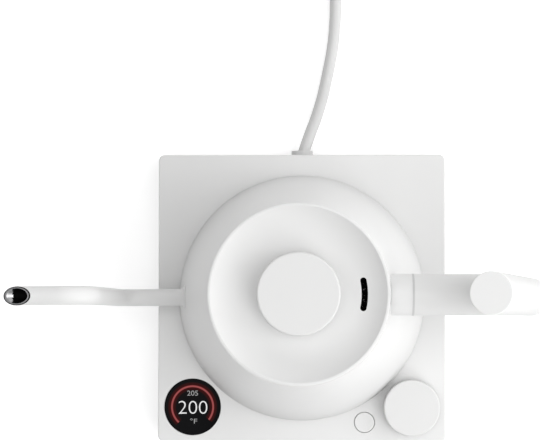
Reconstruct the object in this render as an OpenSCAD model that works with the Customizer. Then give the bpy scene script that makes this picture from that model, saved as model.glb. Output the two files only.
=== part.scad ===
// Electric gooseneck kettle on a square power base.
// Frame: +X towards the handle, +Y towards the power cord, +Z up.
// The origin is on the table, under the kettle's axis, at the centre of the base.

/* [Base] */
// Side of the square base
base_w = 171.4; // [170.4:0.2:173]
// Height of the base's top above the table
base_top = 30; // [30:0.1:30.4]
// Radius of the base's upright corners
base_corner_r = 3.5; // [3:0.5:5]
// Wall of the base's cover
base_wall = 2.4; // [2:0.2:2.6]
// Distance of the dial and the display from the kettle's axis, along X and along Y
control_offset = 65.1; // [64.8:0.1:65.4]

/* [Controls] */
// Radius of the dial
dial_r = 16.5; // [15.5:0.1:16.6]
// Height of the dial
dial_h = 11; // [10.5:0.1:11.2]
// Radius of the display's glass
display_r = 16.75; // [16:0.05:16.8]
// Radius of the round button
button_r = 6; // [5.5:0.1:6.2]
// Travel of the button
button_travel = 0.6; // [0.4:0.1:0.6]
// Travel of the dial when it is pushed
dial_travel = 0.8; // [0.5:0.1:0.8]

/* [Kettle] */
// Outer radius at the foot of the kettle
foot_r = 73; // [72.6:0.1:73.4]
// Outer radius of the kettle at its top
top_r = 47.9; // [47.5:0.1:48.2]
// Height of the kettle's top above the table
kettle_top = 159; // [158.8:0.1:159.2]
// Wall of the kettle
shell_wall = 1; // [0.8:0.1:1.2]
// Radius of the kettle's mouth
neck_r = 40.2; // [40:0.1:40.4]

/* [Lid] */
// Outer radius of the lid
lid_r = 47.65; // [47.3:0.05:47.9]
// Height of the lid's rim above the table
lid_rim = 166; // [165.8:0.1:166.2]
// Radius of the lid's knob
knob_r = 21.6; // [21:0.1:22]
// Height of the top of the lid's knob above the table
knob_top = 172; // [170:0.5:175]

/* [Spout] */
// Height of the spout's root above the table
spout_root_z = 54; // [54:0.1:54.4]
// Height of the spout's axis at its mouth
spout_tip_z = 161; // [160:0.5:162]
// Distance of the spout's lip from the kettle's axis
spout_reach = 154.7; // [154:0.1:155.4]
// Outer diameter at the root
spout_root_d = 9.9; // [9.8:0.1:10.1]
// Outer diameter at the mouth
spout_tip_d = 9.9; // [9.7:0.1:10.1]
// Angle of the cut mouth from the horizontal
spout_cut = 32; // [31:0.5:33]

/* [Handle] */
// Diameter of the handle
handle_d = 21.8; // [21.4:0.1:22]
// Height of the handle's arm above the table
arm_z = 148; // [147.8:0.1:148]
// Distance of the handle's cap from the kettle's axis
cap_x = 95.7; // [95:0.1:96]
// Height of the handle's cap above the table
cap_z = 200; // [198:0.5:202]
// Lean of the grip from the vertical
grip_tilt = 15; // [14:0.5:16]
// Length of the handle from its cap to its lower end
grip_len = 145; // [143:1:147]

/* [Cord] */
// Diameter of the power cord
cord_d = 7; // [6.8:0.1:7]
// Mean radius of the stored coil
coil_r = 42; // [41:0.5:42]

/* [Hidden] */
$fn = 96;

white = [0.93, 0.93, 0.92];
black = [0.05, 0.05, 0.055];
steel = [0.75, 0.75, 0.76];
brass = [0.80, 0.62, 0.28];
board_green = [0.10, 0.32, 0.18];
copper = [0.72, 0.42, 0.25];

gap = 0.05;              // running clearance of parts that turn or slide on each other
edge_r = 0.8;            // rounding of the base's top edge
foot_h = 2;              // feet stand this far below the base's plate
cover_bottom = 3;        // lower edge of the base's cover
cover_top_t = 2.6;       // thickness of the cover's top wall
top_inside = base_top - cover_top_t;
board_z = 10.4;          // underside of the circuit boards
board_t = 1.6;
screw_xy = [[-76, 60], [76, 60], [-76, -36], [76, -36]];
foot_xy = [[0, 0], [-68, 68], [68, 68], [-68, -68], [68, -68]];
button_pos = [37.4, -74.2];
button_foot = top_inside - 1.7;   // underside of the button's flange
switch_top = board_z + board_t + 5;
control_posts = [[-58, -76], [-30, -76], [44, -76], [70, -76]];
power_posts = [[-52, 42], [52, 42], [-52, 74], [52, 74]];
dial_pos = [control_offset, -control_offset];
display_pos = [-control_offset, -control_offset];
panel_r = 14.2;           // round display module under the glass

boss_r = 17;             // raised post of the base's connector
boss_top = base_top + 8;
groove_r = [6.5, 10, 13.5];   // inner radii of the connector's ring grooves
groove_w = 1.8;

foot_z = base_top + 0.3;      // the kettle's lower face
cone_z = foot_z + 0.9;        // height at which the cone has its foot radius
slope = (foot_r - top_r) / (kettle_top - cone_z);
function cone_r(z) = foot_r - slope * (z - cone_z);
seam_z = 36;                  // seam between the bottom cover and the shell
floor_z = 46;                 // underside of the vessel's floor
floor_t = 1.2;
cup_r = 24.4;                 // outer radius of the kettle's half of the connector
screw_ring = 61;              // the bottom cover's screws lie on this radius

dish_z = 157.6;               // lowest level of the lid's dished top
dish_x = 24;                  // radius at which the dish is level
lid_foot = 159.6;             // underside of the lid's rim
lid_edge = 45.5;              // radius at which the dish meets the rim's rounding
dish_drop = lid_rim - 0.4 - dish_z;
dish_arc = (pow(lid_edge - dish_x, 2) + pow(dish_drop, 2)) / (2 * dish_drop);
lid_t = 2;                    // thickness of the lid's dish
plug_r = 39.4;
plug_bottom = 143;
vent_r = 34.3;                // the steam slot lies on this radius
vent_w = 3.3;
vent_a = 24;                  // angle between the centres of the slot's round ends

bend_a = 86;                  // each of the spout's two bends turns this far
bend_steps = 8;
low_bend = 16;
high_bend = 16;
tip_run = 29.5;               // level run of the spout before its lip
spout_yaw = 0.65;             // the spout points this far towards -Y
spout_wall = 0.8;
rise = spout_tip_z - spout_root_z;
slant = (rise - (low_bend + high_bend) * (1 - cos(bend_a))) / sin(bend_a);
bend_x = -spout_reach + tip_run + high_bend * sin(bend_a) + slant * cos(bend_a)
         + low_bend * sin(bend_a);
slant_start = [bend_x - low_bend * sin(bend_a), 0, spout_root_z + low_bend * (1 - cos(bend_a))];
slant_end = slant_start + slant * [-cos(bend_a), 0, sin(bend_a)];
high_centre = slant_end - high_bend * [sin(bend_a), 0, cos(bend_a)];
spout_start = cone_r(spout_root_z) - shell_wall - 1.6;
spout_sides = 24;
function low_point(t) = [bend_x, 0, spout_root_z + low_bend] - low_bend * [sin(t), 0, cos(t)];
function high_point(t) = high_centre + high_bend * [sin(t), 0, cos(t)];
// The spout's axis: each entry is a point, its rise above the level in degrees, and the outer radius
spout_line = concat(
  [[[-spout_start, 0, spout_root_z], 0, spout_root_d / 2]],
  [for (k = [0 : bend_steps]) let (t = k * bend_a / bend_steps) [low_point(t), t, spout_root_d / 2]],
  [for (k = [bend_steps : -1 : 0]) let (t = k * bend_a / bend_steps)
    [high_point(t), t, spout_tip_d / 2]]);
// The hoops of one wall, the last one lying in the slanted plane of the mouth
function spout_hoops(inset) = concat(
  [for (p = spout_line) each hoop(p[0], [-cos(p[1]), 0, sin(p[1])], p[2] - inset, spout_sides)],
  [for (q = hoop([0, 0, spout_tip_z], [-1, 0, 0], spout_tip_d / 2 - inset, spout_sides))
    [(q[2] - spout_tip_z + spout_tip_d / 2) / tan(spout_cut) - spout_reach, q[1], q[2]]]);

handle_r = handle_d / 2;
arm_start = 60.3;
seal_t = 1.1;

// Route of the cord from the gland to the coil, and from the coil to the plug
cord_r = cord_d / 2;
gland_x = 0;
gland_z = 11;                 // the cord's axis in the gland
collar_h = 3.9;               // the gland's collar stands out of the base this far
clamp_y = 66;
clamp_top = 17;
plate_top = foot_h + 2.4;
lead_route = [
  [gland_x, 86.6, gland_z], [2.2, 92.8, 10.7], [4.4, 99.5, 9.5], [6.9, 106, 7.4], [9.1, 112.5, 5.2],
  [11.1, 119, 3.9], [12.9, 125.5, 3.5], [15.2, 136.5, 3.5], [17.2, 146, 3.5],
  [18.8, 155.5, 3.5], [19.9, 166, 3.5], [20.4, 176, 3.6], [20.5, 186, 3.8],
  [20.5, 198, 4.1], [20.5, 210, 4.3], [20.5, 222, 4.3], [20.5, 228, 4.3]
];
tail_route = [
  [-12, 198, 11.4], [-2, 198, 11.5], [8, 198.4, 11.7], [17, 199.3, 11.8], [24, 200.4, 11.3],
  [31, 202, 9.9], [38, 203.7, 8.1], [45, 205, 6.8], [52, 205.8, 6.6], [60, 206, 8],
  [67.5, 206, 9.9], [75, 206, 11.2], [81, 206, 11.5]
];
coil_centre = [20.5 - coil_r, 240];
coil_low = 0.8;               // lower and upper face of the ring that stands for the turns
coil_high = 15;
plug_x = 75.4;
plug_y = 206;
plug_z = 11.5;
plug_w = 23;
relief_len = 20;
plug_len = 28;
blade_z = 3.6;                // underside of the two flat blades
earth_z = 18.6;               // axis of the round earth pin

// ---------- shapes that several parts share ----------

module rounded_square(w, r) {
  square([w - 2 * r, w], center = true);
  square([w, w - 2 * r], center = true);
  for (x = [-1, 1], y = [-1, 1]) translate([x, y] * (w / 2 - r)) circle(r = r, $fn = 48);
}

// Half profile from the middle to a rounded upper edge at distance w, for z0 to z1
module edge_profile(w, z0, z1, e) {
  translate([0, z0]) square([w, z1 - z0 - e]);
  translate([0, z0]) square([w - e, z1 - z0]);
  translate([w - e, z1 - e]) circle(r = e, $fn = 32);
}

// Square slab with upright corners of radius r and a rounded top edge e
module soft_slab(w, r, z0, z1, e) {
  for (turn = [0 : 3]) rotate([0, 0, 90 * turn])
    rotate([90, 0, 0]) linear_extrude(w - 2 * r, center = true) edge_profile(w / 2, z0, z1, e);
  for (x = [-1, 1], y = [-1, 1]) translate([x, y, 0] * (w / 2 - r))
    rotate_extrude($fn = 48) edge_profile(r, z0, z1, e);
}

module at(p, z) { translate([p[0], p[1], z]) children(); }

module ring(r1, r2, h) {
  difference() {
    cylinder(r = r2, h = h);
    translate([0, 0, -1]) cylinder(r = r1, h = h + 2);
  }
}

// Cheese-head screw, its head's top face at z = 0 and its shank pointing down
module screw(head_r, head_h, shank_r, len) {
  difference() {
    translate([0, 0, -head_h]) cylinder(r = head_r, h = head_h, $fn = 32);
    translate([-head_r * 0.6, -0.35, -0.7]) cube([head_r * 1.2, 0.7, 1]);
    translate([-0.35, -head_r * 0.6, -0.7]) cube([0.7, head_r * 1.2, 1]);
  }
  translate([0, 0, -head_h - len]) cylinder(r = shank_r, h = len, $fn = 32);
}

module rod(a, b, r) {
  d = b - a;
  translate(a) rotate([0, acos(d[2] / norm(d)), atan2(d[1], d[0])])
    cylinder(r = r, h = norm(d), $fn = 24);
}

// Tube of flat-sided rings swept along points
sides = 8;
function heading(p, i) =
  let (a = p[max(i - 1, 0)], b = p[min(i + 1, len(p) - 1)]) (b - a) / norm(b - a);
function hoop(c, d, r, n) =
  let (s = cross([0, 0, 1], d) / norm(cross([0, 0, 1], d)), u = cross(d, s))
  [for (k = [0 : n - 1]) let (t = 360 * (k + 0.5) / n) c + r * (cos(t) * s + sin(t) * u)];
module swept_tube(p, r) {
  n = len(p);
  polyhedron(
    points = [for (i = [0 : n - 1]) each hoop(p[i], heading(p, i), r, sides)],
    faces = concat(
      [[for (k = [0 : sides - 1]) k]],
      [for (i = [0 : n - 2], k = [0 : sides - 1])
        let (j = (k + 1) % sides) [i * sides + k, (i + 1) * sides + k, (i + 1) * sides + j, i * sides + j]],
      [[for (k = [sides - 1 : -1 : 0]) (n - 1) * sides + k]]));
}

// ---------- power base ----------

module base_cover() {
  color(white) difference() {
    union() {
      difference() {
        soft_slab(base_w, base_corner_r, cover_bottom, base_top, edge_r);
        translate([0, 0, -1]) linear_extrude(top_inside + 1)
          rounded_square(base_w - 2 * base_wall, base_corner_r - 1.5);
      }
      for (p = screw_xy) at(p, 4.8) cylinder(r = 3.6, h = top_inside - 4.8 + 1);
    }
    for (p = screw_xy) at(p, 0) cylinder(r = 1.45, h = 15, $fn = 32);
    at(display_pos, 0) cylinder(r = display_r + 0.2, h = 50);
    at(dial_pos, 0) cylinder(r = 3.6, h = 50);
    at(button_pos, 0) cylinder(r = button_r + 0.3, h = 50);
    cylinder(r = boss_r + 0.3, h = 50);
    along_gland(base_w / 2 - 6) cylinder(r = 5, h = 12);
  }
}

module base_plate() {
  plate_w = base_w - 2 * base_wall - 0.4;
  color(black) difference() {
    union() {
      translate([0, 0, foot_h]) linear_extrude(plate_top - foot_h)
        rounded_square(plate_w, base_corner_r - 1.5);
      for (p = control_posts) at(p, foot_h) cylinder(r = 2.2, h = board_z - foot_h, $fn = 32);
      for (p = power_posts) at(p, foot_h) cylinder(r = 3, h = board_z - foot_h, $fn = 32);
    }
    for (p = screw_xy) at(p, 0) {
      cylinder(r = 1.6, h = 6, $fn = 32);
      cylinder(r = 3, h = 3.4, $fn = 32);
    }
    for (p = foot_xy) at(p, 0) cylinder(r = 8.1, h = foot_h + 0.6);
    for (k = [-3 : 3]) translate([k * 6 - 1, 20, 0]) cube([2, 16, 6]);
  }
}

module base_feet() {
  color([0.18, 0.18, 0.19]) for (p = foot_xy) at(p, 0) cylinder(r = 8, h = foot_h + 0.6);
}

module base_screws() {
  color(steel) for (p = screw_xy) at(p, 3.4) mirror([0, 0, 1]) translate([0, 0, 1.3])
    screw(2.8, 1.3, 1.4, 10);
}

module base_connector() {
  color(black) difference() {
    union() {
      translate([0, 0, top_inside - 4]) cylinder(r = 26, h = 4);
      translate([0, 0, 16]) cylinder(r = boss_r, h = boss_top - 16);
    }
    for (r = groove_r) translate([0, 0, base_top - 5]) ring(r, r + groove_w, 20);
    translate([0, 0, base_top - 6]) cylinder(r = 2.6, h = 20, $fn = 48);
  }
}

module connector_contacts() {
  color(brass) {
    for (r = groove_r, side = [0, 180]) rotate([0, 0, side + 4 * r])
      translate([0, 0, base_top - 5]) rotate_extrude(angle = 24) translate([r + 0.15, 0]) square([0.3, 5]);
    translate([0, 0, base_top - 6]) ring(1.9, 2.6, 6);
  }
}

module display_glass() {
  color(black) at(display_pos, base_top - 1.6) {
    cylinder(r = display_r, h = 1.5);
    cylinder(r = display_r - 0.3, h = 1.75);
  }
}

module display_bezel() {
  color(black) at(display_pos, top_inside - 4) {
    ring(panel_r + 0.2, 18, 4);
    translate([0, 0, 3.9]) ring(panel_r + 0.2, 16.6, 1.05);
  }
}

module display_panel() {
  color([0.12, 0.13, 0.15]) at(display_pos, top_inside - 3.4) {
    cylinder(r = panel_r, h = 4.2);
    translate([-6, -10, -1.6]) cube([12, 20, 1.7]);
    translate([-5, -10, -12]) cube([10, 1.2, 10.5]);
  }
}

module control_board() {
  color(board_green) difference() {
    translate([-80, -81, board_z]) cube([160, 30, board_t]);
    at([0, -50], 0) cylinder(r = 8, h = 30);
    for (p = [control_posts[0], control_posts[3]]) at(p, 0) cylinder(r = 1.2, h = 30, $fn = 24);
  }
}

module power_board() {
  color(board_green) difference() {
    translate([-58, 38, board_z]) cube([116, 40, board_t]);
    translate([gland_x - 14, 61, board_z - 1]) cube([28, 20, 4]);
    for (p = power_posts) at(p, 0) cylinder(r = 1.3, h = 30, $fn = 24);
  }
}

module power_components() {
  z = board_z + board_t;
  color([0.16, 0.20, 0.30]) {
    translate([-46, 46, z]) cube([19, 15, 13]);          // relay
    translate([-22, 46, z]) cube([16, 14, 12]);          // transformer
    at([4, 54], z) cylinder(r = 5, h = 12);              // smoothing capacitor
    at([16, 54], z) cylinder(r = 4, h = 10);             // second capacitor
    translate([30, 48, z]) cube([10, 6, 11]);            // noise capacitor
    translate([42, 50, z]) cube([4, 14, 12]);            // switching transistor on its heat sink
    translate([-38, 68, z + 2.6]) rotate([0, 90, 0]) cylinder(r = 2.6, h = 20, $fn = 32);   // fuse
    translate([20, 66, z]) cube([18, 9, 10]);            // mains terminal block
  }
}

module buzzer() {
  color(black) at([-12, -72], board_z + board_t) difference() {
    cylinder(r = 6, h = 5);
    translate([0, 0, 3]) cylinder(r = 1, h = 4, $fn = 32);
  }
}

// The cord's sheath inside the base, and leads from it to the terminals and on to the connector
module base_leads() {
  color(copper) {
    along_gland(clamp_y - 3) cylinder(r = cord_r, h = base_w / 2 + 0.8 - clamp_y + 3);
    for (k = [-1, 0, 1]) {
      rod([gland_x + 2 * k, clamp_y - 2.6, gland_z], [29 + 5 * k, 65.9, 18], 0.9);
      rod([26 + 4 * k, 68, 22.95], [9 + 4 * k, 26.6, 25], 0.9);
    }
  }
}

module dial_encoder() {
  color(steel) at(dial_pos, board_z + board_t) difference() {
    union() {
      translate([-6.5, -6.5, 0]) cube([13, 13, 7]);
      cylinder(r = 4.4, h = 14);
    }
    translate([0, 0, 1.5]) cylinder(r = 3 + gap, h = 20);
  }
}

module d_shape(r, h, flat) {
  difference() {
    cylinder(r = r, h = h);
    translate([flat, -10, -1]) cube([20, 20, h + 2]);
  }
}

module dial_shaft() {
  color(steel) at(dial_pos, 0) {
    translate([0, 0, 14]) cylinder(r = 3, h = base_top - 14);
    translate([0, 0, base_top - 0.1]) d_shape(3, 7.7, 1.5);
  }
}

module dial_knob() {
  foot = base_top + 1;
  top = base_top + 1 + dial_h;
  color(white) at(dial_pos, 0) difference() {
    rotate_extrude() edge_profile(dial_r, foot, top, 0.9);
    difference() {
      translate([0, 0, foot - 1]) cylinder(r = dial_r - 2, h = dial_h - 1.4);
      translate([0, 0, foot - 2]) cylinder(r = 5.4, h = dial_h);
    }
    translate([0, 0, foot - 1]) d_shape(3 + gap, 8.6, 1.5 + gap);
  }
}

module button_switch() {
  color(steel) at(button_pos, board_z + board_t) {
    translate([-3, -3, 0]) cube([6, 6, 3.8]);
    cylinder(r = 1.7, h = switch_top - board_z - board_t, $fn = 32);
  }
}

module button_cap() {
  color(white) at(button_pos, 0) {
    rotate_extrude() edge_profile(button_r, button_foot, base_top + 0.2, 0.5);
    translate([0, 0, button_foot]) cylinder(r = button_r + 1.2, h = 1.4);
    translate([0, 0, switch_top + button_travel + 0.1])
      cylinder(r = 1.8, h = button_foot - switch_top - button_travel, $fn = 32);
  }
}

// ---------- power cord ----------

// Puts its children on the cord's straight axis inside the base, z along +Y from the given Y
module along_gland(y) { translate([gland_x, y, gland_z]) rotate([-90, 0, 0]) children(); }

module cord_gland() {
  color(white) difference() {
    union() {
      along_gland(base_w / 2 - base_wall - 4) cylinder(r = 6.3, h = 4);
      along_gland(base_w / 2 - base_wall - 1) cylinder(r = 4.95, h = 4);
      along_gland(base_w / 2 + gap) cylinder(r = 6.5, h = collar_h);
    }
    along_gland(70) cylinder(r = cord_r + gap, h = 30);
    along_gland(base_w / 2 + 1) cylinder(r1 = cord_r + gap, r2 = cord_r + 1.6, h = collar_h);
  }
}

module cord_clamp() {
  color(black) difference() {
    translate([gland_x - 10, clamp_y, plate_top + gap]) cube([20, 7, clamp_top - plate_top - gap]);
    along_gland(clamp_y - 1) cylinder(r = cord_r + 0.02, h = 10);
    for (x = [-7, 7]) translate([gland_x + x, clamp_y + 3.5, 7]) cylinder(r = 1.3, h = 20, $fn = 24);
  }
}

module clamp_screws() {
  color(steel) for (x = [-7, 7]) translate([gland_x + x, clamp_y + 3.5, clamp_top + 1.5])
    screw(2.3, 1.5, 1.25, 8);
}

module power_cord() {
  color(white) swept_tube(lead_route, cord_r);
}

module cord_coil() {
  color(white) translate([coil_centre[0], coil_centre[1], coil_low]) rotate_extrude($fn = 72)
    translate([coil_r - cord_r - 0.1, 0]) square([cord_d + 0.2, coil_high - coil_low]);
}

module cord_tail() {
  color(white) swept_tube(tail_route, cord_r);
}

// Strap that holds the turns together, on the coil's far side
module cord_tie() {
  color(black) translate([coil_centre[0], coil_centre[1] + coil_r, 0]) difference() {
    translate([-4, -cord_r - 1.1, 0]) cube([8, cord_d + 2.2, coil_high + 0.8]);
    translate([-5, -cord_r - 0.4, coil_low]) cube([10, cord_d + 0.8, coil_high - coil_low]);
  }
}

module plug_body() {
  color(white) translate([plug_x, plug_y, plug_z]) {
    difference() {
      rotate([0, 90, 0]) cylinder(r1 = 4.6, r2 = 7, h = relief_len + 2);
      for (k = [0 : 3]) translate([3 + 4.2 * k, 0, 0]) rotate([0, 90, 0]) ring(4.2 + 0.5 * k, 12, 1.4);
    }
    translate([relief_len, 0, 0]) rotate([90, 0, 90]) linear_extrude(plug_len)
      rounded_square(plug_w, 5);
  }
}

module plug_pins() {
  face = plug_x + relief_len + plug_len;
  color(brass) {
    for (y = [-6.35, 6.35]) translate([face, plug_y + y - 0.75, blade_z]) cube([17, 1.5, 6.3]);
    translate([face, plug_y, earth_z]) rotate([0, 90, 0]) cylinder(r = 2.4, h = 18, $fn = 48);
    translate([face + 18, plug_y, earth_z]) rotate([0, 90, 0])
      cylinder(r1 = 2.4, r2 = 1, h = 1.4, $fn = 48);
  }
}

// ---------- kettle: its half of the connector ----------

module kettle_connector() {
  color(black) difference() {
    union() {
      translate([0, 0, foot_z + 0.4]) cylinder(r = cup_r, h = 43 - foot_z);
      translate([0, 0, 41]) cylinder(r = 27, h = 2.4);
    }
    translate([0, 0, foot_z - 1]) cylinder(r = boss_r + 0.6, h = boss_top + 0.8 - foot_z + 1);
  }
}

module connector_rings() {
  ceiling = boss_top + 0.8;
  color(brass) {
    for (r = groove_r) translate([0, 0, base_top - 1]) ring(r + 0.9, r + 1.4, ceiling - base_top + 1);
    translate([0, 0, base_top - 3]) cylinder(r = 1.6, h = ceiling - base_top + 3, $fn = 48);
  }
}

// ---------- kettle: vessel ----------

module at_bottom_screws(z) {
  for (a = [60, 180, 300]) rotate([0, 0, a]) translate([screw_ring, 0, z]) children();
}

module at_probe(z) { rotate([0, 0, -60]) translate([35, 0, z]) children(); }

module bottom_cover() {
  color(white) difference() {
    union() {
      translate([0, 0, cone_z]) cylinder(r1 = cone_r(cone_z), r2 = cone_r(seam_z), h = seam_z - cone_z);
      translate([0, 0, foot_z]) cylinder(r1 = foot_r - 0.9, r2 = foot_r, h = cone_z - foot_z);
    }
    difference() {
      translate([0, 0, foot_z + 2]) cylinder(r = foot_r - 3.6, h = 20);
      translate([0, 0, foot_z]) cylinder(r = 26.4, h = 20);
    }
    translate([0, 0, foot_z - 1]) cylinder(r = cup_r + gap, h = 20);
    at_bottom_screws(foot_z - 1) {
      cylinder(r = 1.7, h = 6, $fn = 32);
      cylinder(r = 3.2, h = 2, $fn = 32);
    }
  }
}

module bottom_screws() {
  color(steel) at_bottom_screws(foot_z + 1)
    mirror([0, 0, 1]) translate([0, 0, 0.9]) screw(2.9, 0.9, 1.4, 8);
}

module heating_element() {
  color(steel) translate([0, 0, 39.6]) {
    rotate([0, 0, 15]) rotate_extrude(angle = 330) translate([44, 0]) circle(r = 3.3, $fn = 48);
    for (a = [15, 345]) rotate([0, 0, a]) translate([44, 0, -4.6]) cylinder(r = 1.4, h = 3.4, $fn = 32);
  }
}

module heat_plate() {
  color([0.82, 0.83, 0.84]) translate([0, 0, 43]) difference() {
    cylinder(r = 57, h = 3);
    translate([0, 0, -1]) cylinder(r = 28, h = 6);
    at_probe(-1) cylinder(r = 2.8, h = 6, $fn = 48);
  }
}

// Pair of bimetal cut-outs that open if the kettle boils dry
module dry_boil_cutouts() {
  color([0.85, 0.84, 0.80]) for (a = [-8, 8]) rotate([0, 0, a + 150]) translate([34, 0, 37.4]) {
    cylinder(r = 4.2, h = 5.5, $fn = 48);
    translate([-1.5, -2.5, -2.4]) cube([3, 5, 2.6]);
  }
}

module temperature_probe() {
  color(steel) at_probe(38) {
    cylinder(r = 2.5, h = 18, $fn = 48);
    translate([0, 0, 18]) sphere(r = 2.5, $fn = 48);
  }
}

module vessel_floor() {
  color(steel) difference() {
    union() {
      translate([0, 0, floor_z]) cylinder(r = cone_r(floor_z + floor_t) - shell_wall - 0.05, h = floor_t);
      at_bottom_screws(33.6) cylinder(r = 3.2, h = floor_z - 33.5, $fn = 48);
    }
    at_bottom_screws(30) cylinder(r = 1.45, h = 12, $fn = 32);
    at_probe(40) cylinder(r = 2.55, h = 12, $fn = 48);
  }
}

module shell_cone(inset, low, high) {
  translate([0, 0, low])
    cylinder(r1 = cone_r(low) - inset, r2 = cone_r(high) - inset, h = high - low, $fn = 180);
}

module kettle_shell() {
  color(white) difference() {
    shell_cone(0, seam_z + 0.1, kettle_top - 1.2);
    shell_cone(shell_wall, seam_z - 2, kettle_top + 2);
    turn_spout() translate([-60, 0, spout_root_z]) rotate([0, -90, 0])
      cylinder(r = spout_root_d / 2 + 0.02, h = 20);
  }
}

// Rolled steel mouth that the lid's plug sits in
module neck_ring() {
  color(steel) difference() {
    union() {
      translate([0, 0, kettle_top - 1.2])
        cylinder(r1 = cone_r(kettle_top - 1.2), r2 = top_r - 0.6, h = 1.2, $fn = 180);
      translate([0, 0, 147]) cylinder(r = neck_r + 0.9, h = 11.5);
    }
    translate([0, 0, 140]) cylinder(r = neck_r, h = 30);
  }
}

// Turns its children about the spout's root
module turn_spout() {
  translate([-spout_start, 0, 0]) rotate([0, 0, spout_yaw]) translate([spout_start, 0, 0]) children();
}

// One hollow tube: its outer and inner walls are hoops along spout_line, closed by flat rings
module spout() {
  n = spout_sides;
  m = len(spout_line) + 1;
  in = m * n;
  color(white) turn_spout() polyhedron(
    points = concat(spout_hoops(0), spout_hoops(spout_wall)),
    faces = [
      for (k = [0 : n - 1]) let (j = (k + 1) % n, e = (m - 1) * n) each concat(
        [for (i = [0 : n : e - n]) [i + k, i + n + k, i + n + j, i + j]],
        [for (i = [in : n : in + e - n]) [i + k, i + j, i + n + j, i + n + k]],
        [[k, j, in + j, in + k], [e + j, e + k, in + e + k, in + e + j]])
    ]);
}

// ---------- kettle: handle ----------

// Puts its children on the grip's axis, z = 0 at the cap's top and z down the grip
module on_grip() { translate([cap_x, 0, cap_z]) rotate([0, 180 - grip_tilt, 0]) children(); }

module along_arm(x) { translate([x, 0, arm_z]) rotate([0, 90, 0]) children(); }

module handle_bracket() {
  color(white) difference() {
    along_arm(42) cylinder(r = handle_r, h = arm_start - seal_t - 42);
    shell_cone(-0.02, 120, kettle_top + 6);
    along_arm(53) cylinder(r = 2.45, h = 30, $fn = 48);
  }
}

module handle_seal() {
  color([0.86, 0.86, 0.86]) along_arm(arm_start - seal_t) difference() {
    cylinder(r = handle_r + 0.15, h = seal_t);
    translate([0, 0, -1]) cylinder(r = 3, h = 5, $fn = 48);
  }
}

module handle_shell() {
  arm_end = cap_x + (cap_z - arm_z) * tan(grip_tilt);
  color(white) difference() {
    union() {
      on_grip() translate([0, 0, grip_len]) mirror([0, 0, 1]) rotate_extrude()
        difference() {
          union() {
            translate([0, 3]) square([handle_r, grip_len - 2.3 - 3]);
            square([handle_r - 3, 10]);
            translate([handle_r - 3, 3]) circle(r = 3, $fn = 48);
          }
          translate([-10, -1]) square([10, 200]);
        }
      along_arm(arm_start) cylinder(r = handle_r, h = arm_end - arm_start);
    }
    on_grip() translate([0, 0, 75]) cylinder(r = 7.6, h = 100);
    on_grip() cylinder(r = 7, h = 8.3);
    along_arm(arm_start - 1) cylinder(r = 2.6, h = 40, $fn = 48);
    along_arm(86) cylinder(r = 4.6, h = 12, $fn = 48);
  }
}

module handle_bolt() {
  color(steel) {
    along_arm(53.5) cylinder(r = 2.4, h = 33, $fn = 48);
    along_arm(86.1) difference() {
      cylinder(r = 4.3, h = 4, $fn = 48);
      translate([0, 0, 1.8]) cylinder(r = 2.3, h = 3, $fn = 6);
    }
  }
}

module handle_weight() {
  color(steel) on_grip() translate([0, 0, 92]) cylinder(r = 7.5, h = 46);
}

module handle_cap() {
  color(white) on_grip() {
    translate([0, 0, 2.2]) mirror([0, 0, 1]) rotate_extrude() edge_profile(handle_r, 0, 2.2, 0.6);
    translate([0, 0, 2]) ring(5, 6.9, 5.5);
  }
}

module handle_end_plug() {
  color(white) on_grip() translate([0, 0, grip_len - 5]) cylinder(r = 7.55, h = 4.6);
}

// ---------- lid ----------

module dish_circle(extra) {
  translate([dish_x, dish_z + dish_arc]) circle(r = dish_arc + extra, $fn = 240);
}

module lid_profile() {
  difference() {
    union() {
      translate([0, dish_z - lid_t]) square([dish_x, lid_t]);
      difference() {
        intersection() {
          translate([dish_x - 0.01, dish_z - lid_t]) square([lid_r - dish_x, 20]);
          union() {
            dish_circle(lid_t);
            translate([40, lid_foot]) square([20, 20]);
          }
        }
        dish_circle(0);
        translate([0, lid_rim]) square([60, 20]);
        translate([lid_r - 1.2, lid_rim - 1.2]) difference() {
          square([5, 5]);
          circle(r = 1.2, $fn = 48);
        }
      }
    }
    translate([42, 0]) square([20, lid_foot]);
  }
}

// Five small holes under the steam slot
module at_vent_holes() {
  for (k = [-2 : 2]) rotate([0, 0, 5 * k]) translate([vent_r, 0, 140]) children();
}

module vent_slot(w, h) {
  rotate([0, 0, -vent_a / 2]) rotate_extrude(angle = vent_a) translate([vent_r - w / 2, 0]) square([w, h]);
  for (a = [-1, 1]) rotate([0, 0, a * vent_a / 2]) translate([vent_r, 0, 0])
    cylinder(r = w / 2, h = h, $fn = 48);
}

module lid_cover() {
  color(white) difference() {
    rotate_extrude($fn = 180) lid_profile();
    translate([0, 0, 150]) vent_slot(vent_w, 30);
    translate([0, 0, 150]) cylinder(r = 2.1, h = 20, $fn = 48);
  }
}

module lid_core() {
  color(black) difference() {
    translate([0, 0, plug_bottom + 1]) cylinder(r = plug_r - 1, h = dish_z - lid_t - plug_bottom - 1.1);
    translate([0, 0, 140]) cylinder(r = 2.1, h = 30, $fn = 48);
    at_vent_holes() cylinder(r = 0.9, h = 30, $fn = 32);
  }
}

module lid_plug() {
  color(steel) difference() {
    translate([0, 0, plug_bottom]) cylinder(r = plug_r, h = 15.4);
    translate([0, 0, plug_bottom + 0.9]) cylinder(r = plug_r - 0.9, h = 20);
    translate([0, 0, 140]) cylinder(r = 2.1, h = 30, $fn = 48);
    at_vent_holes() cylinder(r = 1.2, h = 30, $fn = 32);
    translate([0, 0, 150]) ring(plug_r - 0.3, plug_r + 2, 3.2);
  }
}

module lid_gasket() {
  color([0.85, 0.85, 0.86]) translate([0, 0, 150.1]) difference() {
    cylinder(r = neck_r - gap, h = 3);
    translate([0, 0, -1]) cylinder(r = plug_r - 0.3 + gap, h = 6);
  }
}

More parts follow.
